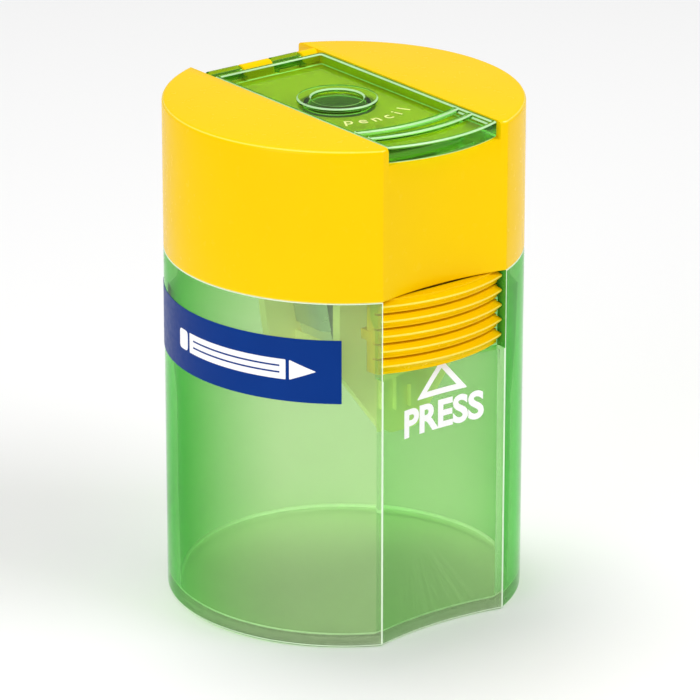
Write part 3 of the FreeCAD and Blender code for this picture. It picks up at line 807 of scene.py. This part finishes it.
def make_lid_word():
    """Pale word curved round the ring on the lid, a plain word for what goes in."""
    plain_word, radius, pitch = "pencil", 8.7 * MM, math.radians(11.5)
    size, weight, depth, stand_off = 2.3 * MM, 0.01 * MM, 0.012 * MM, 0.016 * MM
    letters = []
    for index, letter in enumerate(plain_word):
        obj = lettering("letter", letter, size, weight, depth)
        turn = (index - (len(plain_word) - 1) / 2) * pitch
        obj.data.transform(Matrix.Translation((0, HOLE_Y, 0)) @ Matrix.Rotation(turn, 4, "Z")
                           @ Matrix.Translation((0, -radius, LID_PANEL + stand_off)))
        letters.append(obj)
    word = join(letters[0], *letters[1:])
    word.name = "lid_word"
    clean(word)
    return word


# ----------------------------------------------------------------- materials
def material(name, **sockets):
    """Principled material with constant sockets set on the shader itself."""
    mat = bpy.data.materials.new(name)
    mat.use_nodes = True
    shader = mat.node_tree.nodes["Principled BSDF"]
    for key, value in sockets.items():
        shader.inputs[key.replace("_", " ")].default_value = value
    return mat, mat.node_tree, shader


def noise(tree, scale, detail=3.0, roughness=0.55, squeeze=(1, 1, 1)):
    """Noise on Object coordinates."""
    where = tree.nodes.new("ShaderNodeTexCoord")
    mapping = tree.nodes.new("ShaderNodeMapping")
    mapping.inputs["Scale"].default_value = squeeze
    node = tree.nodes.new("ShaderNodeTexNoise")
    node.inputs["Scale"].default_value = scale
    node.inputs["Detail"].default_value = detail
    node.inputs["Roughness"].default_value = roughness
    tree.links.new(where.outputs["Object"], mapping.inputs["Vector"])
    tree.links.new(mapping.outputs["Vector"], node.inputs["Vector"])
    return node.outputs["Fac"]


def spread(tree, value, low, high, source=NOISE_RANGE):
    """Map a range, that of a noise unless it is given, to another one."""
    node = tree.nodes.new("ShaderNodeMapRange")
    for name, number in (("From Min", source[0]), ("From Max", source[1]),
                         ("To Min", low), ("To Max", high)):
        node.inputs[name].default_value = number
    tree.links.new(value, node.inputs["Value"])
    return node.outputs[0]


def tint(tree, value, first, second):
    """Colour between two, by value."""
    node = tree.nodes.new("ShaderNodeMix")
    node.data_type = "RGBA"
    node.inputs[MIX_A].default_value = (*first, 1)
    node.inputs[MIX_B].default_value = (*second, 1)
    tree.links.new(spread(tree, value, 0, 1), node.inputs[0])
    return node.outputs[MIX_RESULT]


def bump(tree, value, strength, distance):
    """Bump from a height."""
    node = tree.nodes.new("ShaderNodeBump")
    node.inputs["Strength"].default_value = strength
    node.inputs["Distance"].default_value = distance
    tree.links.new(value, node.inputs["Height"])
    return node.outputs["Normal"]


def moulded(name, first, second, gloss, grain=900.0, relief=0.004 * MM, **sockets):
    """Moulded plastic: faint flow in the colour, fine grain in gloss and bump."""
    mat, tree, shader = material(name, **sockets)
    flow = noise(tree, 90.0, 2.0)
    fine = noise(tree, grain, 4.0)
    tree.links.new(tint(tree, flow, first, second), shader.inputs["Base Color"])
    tree.links.new(spread(tree, fine, *gloss), shader.inputs["Roughness"])
    tree.links.new(bump(tree, fine, 0.25, relief), shader.inputs["Normal"])
    return mat


def deepen_at_slant(tree, shader, slant):
    """Deepen the colour where an upright face is seen at a slant."""
    facing = tree.nodes.new("ShaderNodeLayerWeight")
    facing.inputs["Blend"].default_value = 0.5
    surface = tree.nodes.new("ShaderNodeNewGeometry")
    split = tree.nodes.new("ShaderNodeSeparateXYZ")
    tree.links.new(surface.outputs["Normal"], split.inputs[0])
    upright = calc(tree, "SUBTRACT", 1.0, calc(tree, "ABSOLUTE", split.outputs["Z"]))
    aslant = spread(tree, facing.outputs["Facing"], 0, 1, SLANT_RANGE)
    deepen = tree.nodes.new("ShaderNodeMix")
    deepen.data_type = "RGBA"
    deepen.inputs[MIX_B].default_value = (*slant, 1)
    plain = shader.inputs["Base Color"].links[0].from_socket
    tree.links.new(calc(tree, "MULTIPLY", aslant, upright), deepen.inputs[0])
    tree.links.new(plain, deepen.inputs[MIX_A])
    tree.links.new(deepen.outputs[MIX_RESULT], shader.inputs["Base Color"])


def let_lamps_through(tree, shader, output):
    """Lamp light passes on through the plastic instead of leaving it in the dark."""
    rays = tree.nodes.new("ShaderNodeLightPath")
    pass_on = tree.nodes.new("ShaderNodeBsdfTransparent")
    pass_on.inputs["Color"].default_value = SHADOW_TINT
    blend = tree.nodes.new("ShaderNodeMixShader")
    tree.links.new(rays.outputs["Is Shadow Ray"], blend.inputs[0])
    tree.links.new(shader.outputs[0], blend.inputs[1])
    tree.links.new(pass_on.outputs[0], blend.inputs[2])
    tree.links.new(blend.outputs[0], output.inputs["Surface"])


def clear_plastic(name, first, second, gloss, slant, depth_colour, density, **sockets):
    """Clear plastic tinted through its depth, deeper in colour where seen at a slant."""
    mat = moulded(name, first, second, gloss, 400.0, FINE_RELIEF, **sockets)
    tree = mat.node_tree
    shader, output = tree.nodes["Principled BSDF"], tree.nodes["Material Output"]
    deepen_at_slant(tree, shader, slant)
    let_lamps_through(tree, shader, output)
    depth = tree.nodes.new("ShaderNodeVolumeAbsorption")
    depth.inputs["Color"].default_value = (*depth_colour, 1)
    depth.inputs["Density"].default_value = density
    tree.links.new(depth.outputs[0], output.inputs["Volume"])
    return mat


def ground_metal(name, first, second, gloss, squeeze):
    """Metal with fine drawn or ground lines."""
    mat, tree, shader = material(name, Metallic=1.0)
    lines = noise(tree, 700.0, 4.0, 0.6, squeeze)
    cloud = noise(tree, 160.0, 2.0)
    tree.links.new(tint(tree, cloud, first, second), shader.inputs["Base Color"])
    tree.links.new(spread(tree, lines, *gloss), shader.inputs["Roughness"])
    tree.links.new(bump(tree, lines, 0.35, 0.006 * MM), shader.inputs["Normal"])
    return mat


YELLOW = moulded(
    "yellow_moulded_plastic", (0.96, 0.615, 0.0), (0.98, 0.63, 0.0), gloss=(0.24, 0.28),
    relief=FINE_RELIEF, IOR=1.45, Specular_IOR_Level=0.07)
# Painted highlight: pale yellow on the head's rim and skirt bands and on the crests of the ribs.
PAINTED_YELLOW_HIGHLIGHT = moulded(
    "painted_highlight_yellow_edge", (1.0, 0.76, 0.06), (1.0, 0.78, 0.08), gloss=(0.2, 0.3),
    grain=1500.0, relief=FINE_RELIEF)
CLEAR = clear_plastic(
    "clear_green_tub_plastic", (0.72, 0.85, 0.61), (0.74, 0.87, 0.63), gloss=(0.03, 0.06),
    slant=(0.05, 0.60, 0.04), depth_colour=(0.40, 0.88, 0.12), density=90.0,
    Transmission_Weight=0.90, IOR=1.12)
# Painted highlight: pale opaque colour on narrow edge bands of the clear tub, standing in for
# bright edge lines.
PAINTED_TUB_HIGHLIGHT = moulded(
    "painted_highlight_tub_edge", (0.80, 0.95, 0.74), (0.84, 0.97, 0.80), gloss=(0.2, 0.3),
    grain=1500.0, relief=SOFT_RELIEF)
# Painted light: opaque bright green on one side face of the notch, standing in for light through
# the cut edge where the clear plastic shows shade.
PAINTED_EDGE_GLOW = moulded(
    "painted_glow_green_cut_edge", (0.05, 0.40, 0.04), (0.07, 0.44, 0.05), gloss=(0.2, 0.3),
    grain=1500.0, relief=FINE_RELIEF)
CLEAR_LID = clear_plastic(
    "clear_green_lid_plastic", (0.34, 0.66, 0.10), (0.36, 0.68, 0.12), gloss=(0.04, 0.07),
    slant=(0.34, 0.92, 0.30), depth_colour=(0.16, 0.80, 0.02), density=90.0,
    Transmission_Weight=0.96, IOR=1.12)
# Painted highlight: pale green on the narrow cut edges of the lid, ring and ridges.
PAINTED_LID_HIGHLIGHT = moulded(
    "painted_highlight_lid_edge", (0.50, 0.80, 0.42), (0.54, 0.83, 0.46), gloss=(0.2, 0.3),
    grain=1500.0, relief=SOFT_RELIEF)
# Painted light: a faint emission makes the holder glow as if lit through the tub; it is no lamp.
HOLDER = moulded(
    "pale_lemon_holder_plastic_painted_glow", (1.0, 0.96, 0.50), (1.0, 0.98, 0.56), gloss=(0.28, 0.38),
    IOR=1.45, Emission_Color=(0.75, 0.72, 0.30, 1), Emission_Strength=0.16)
BLUE = moulded(
    "blue_printed_band", (0.0, 0.030, 0.21), (0.0, 0.036, 0.24), gloss=(0.30, 0.42),
    grain=1500.0, relief=0.003 * MM, Specular_IOR_Level=0.08)
WHITE_INK = moulded(
    "white_print_ink", (0.96, 0.96, 0.96), (0.99, 0.99, 0.99), gloss=(0.4, 0.55),
    grain=2500.0, relief=SOFT_RELIEF)
PALE_INK = moulded(
    "pale_yellow_ink", (0.84, 0.86, 0.30), (0.88, 0.88, 0.36), gloss=(0.4, 0.55),
    grain=2500.0, relief=SOFT_RELIEF)
WEDGE = ground_metal(
    "milled_magnesium", (0.78, 0.79, 0.80), (0.84, 0.85, 0.86), gloss=(0.28, 0.42),
    squeeze=(1, 1, 0.08))
STEEL = ground_metal(
    "ground_blade_steel", (0.55, 0.57, 0.60), (0.64, 0.66, 0.69), gloss=(0.18, 0.30),
    squeeze=(1, 0.06, 1))
PIN = ground_metal(
    "drawn_pin_steel", (0.60, 0.61, 0.63), (0.68, 0.69, 0.71), gloss=(0.2, 0.3),
    squeeze=(0.08, 1, 1))


def paint(obj, *mats, pick=None):
    """Materials on a piece; pick gives the number of the one for a face's centre."""
    obj.data.materials.clear()
    for mat in mats:
        obj.data.materials.append(mat)
    for polygon in obj.data.polygons:
        polygon.material_index = int(pick(polygon.center)) if pick else 0


def between(value, limits):
    """True inside a pair of limits."""
    return limits[0] < value < limits[1]


def tub_painted_light_pick(spot):
    """Number of the tub's material for a face: 0 clear, 1 painted highlight on a narrow edge
    band, 2 painted green glow on the notch side.
    """
    centre_x, centre_y = corner_centre(RADIUS, CHANNEL_RADIUS, CORNER)
    x, y = abs(spot.x) - centre_x, spot.y - centre_y
    on_rounding = abs(math.hypot(x, y) - CORNER) < 0.03 * MM
    faces_front = y < -abs(x) * 1.2
    if on_rounding and faces_front and between(spot.z, CORNER_GLINT):
        return 1
    if between(spot.z, SEAM_GLINT) and math.hypot(spot.x, spot.y) < RADIUS:
        return 1
    # Painted glow: only the notch side face at +X gets the opaque green.
    if between(spot.x, NOTCH_GLINT) and between(spot.z, (PAD_BOTTOM, SEAM)):
        return 2
    return between(spot.z, FOOT_GLINT) or between(spot.z, FLOOR_GLINT)


def head_highlight_pick(spot):
    """Number of the head's material: 1 on narrow bands of its rim and lower edge, painted pale as
    highlights, else 0.
    """
    out = math.hypot(spot.x, spot.y)
    on_rim = out > RADIUS - RIM_ROUND and spot.y > -18 * MM and between(spot.z, RIM_GLINT)
    return on_rim or (out > RADIUS - EDGE and between(spot.z, SKIRT_GLINT))


def rib_highlight_pick(spot):
    """Number of the pad's material: 1 on the rounded crests of the ribs, painted pale as
    highlights, else 0.
    """
    return math.hypot(spot.x, spot.y - PAD_CENTRE) > PAD_CREST - 0.17 * MM


# ----------------------------------------------------------------- assembly
def add(obj, body, slot_name, *stands_for):
    """Put a painted piece on its body and hide the imported nodes it stands for."""
    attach(obj, body)
    if stands_for:
        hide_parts(*stands_for)


tub, label, head = make_tub(), make_label(), make_head()
latch, lid = make_latch(YELLOW), make_lid()
sign, press, word = make_pictogram(), make_press_print(), make_lid_word()
paint(tub, CLEAR, PAINTED_TUB_HIGHLIGHT, PAINTED_EDGE_GLOW, pick=tub_painted_light_pick)
paint(head, YELLOW, PAINTED_YELLOW_HIGHLIGHT, pick=head_highlight_pick)
paint(latch, YELLOW, PAINTED_YELLOW_HIGHLIGHT, pick=rib_highlight_pick)
for piece, mat in ((label, BLUE), (sign, WHITE_INK), (press, WHITE_INK), (word, PALE_INK)):
    paint(piece, mat)
add(tub, "tub", "clear_green", "tub")
add(label, "tub", "label_blue", "label")
add(sign, "tub", "label_blue")
add(press, "tub", "clear_green")
add(head, "head", "yellow", "head_shell")
add(latch, "latch", "yellow", "press_latch")
add(lid, "lid", "clear_lid", "flip_lid")
add(word, "lid", "clear_lid")

for node, mat in (("sharpener_holder", HOLDER), ("sharpener_body", WEDGE), ("blade", STEEL),
                  ("blade_screw", PIN), ("hinge_pin", PIN)):
    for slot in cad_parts[node].material_slots:
        slot.material = mat


# --------------------------------------------------------------------- stage
def make_floor():
    """Large pale floor."""
    ring = oblong(-FLOOR_HALF, FLOOR_HALF, -FLOOR_HALF, FLOOR_HALF)
    floor = stack("floor", [[(x, y, z) for x, y in ring] for z in FLOOR_SLAB])
    mat, tree, shader = material("pale_floor", Roughness=0.7, Specular_IOR_Level=0.2)
    tree.links.new(tint(tree, noise(tree, 3.0), (0.93, 0.93, 0.93), (0.95, 0.95, 0.95)),
                   shader.inputs["Base Color"])
    paint(floor, mat)


def add_light(name, side, power, place):
    """Square area light that looks at LIT_POINT."""
    data = bpy.data.lights.new(name, "AREA")
    data.shape = "RECTANGLE"
    data.size = data.size_y = side
    data.energy = power
    light = place_object(name, data)
    light.location = place
    direction = Vector(LIT_POINT) - Vector(place)
    light.rotation_euler = direction.to_track_quat("-Z", "Y").to_euler()


def make_camera():
    """Camera left of the front, a little above, with a long lens."""
    target = Vector((0, 0, TOP / 2))
    back = Vector((math.sin(CAMERA_AZIMUTH) * math.cos(CAMERA_ELEVATION),
                   -math.cos(CAMERA_AZIMUTH) * math.cos(CAMERA_ELEVATION),
                   math.sin(CAMERA_ELEVATION)))
    data = bpy.data.cameras.new("camera")
    data.sensor_width = CAMERA_SENSOR
    data.lens = CAMERA_LENS
    data.shift_x, data.shift_y = CAMERA_SHIFT
    data.clip_start = CAMERA_NEAR
    camera = place_object("camera", data)
    camera.location = target + CAMERA_DISTANCE * back
    camera.rotation_euler = (-back).to_track_quat("-Z", "Y").to_euler()
    bpy.context.scene.camera = camera


def make_studio():
    """Plain white surroundings and three soft lights."""
    world = bpy.data.worlds.new("studio")
    bpy.context.scene.world = world
    world.use_nodes = True
    background = world.node_tree.nodes["Background"]
    background.inputs["Color"].default_value = (1, 1, 1, 1)
    background.inputs["Strength"].default_value = WORLD_LIGHT
    for light in LIGHTS:
        add_light(*light)
    bpy.context.scene.view_settings.view_transform = "Standard"


make_floor()
make_camera()
make_studio()
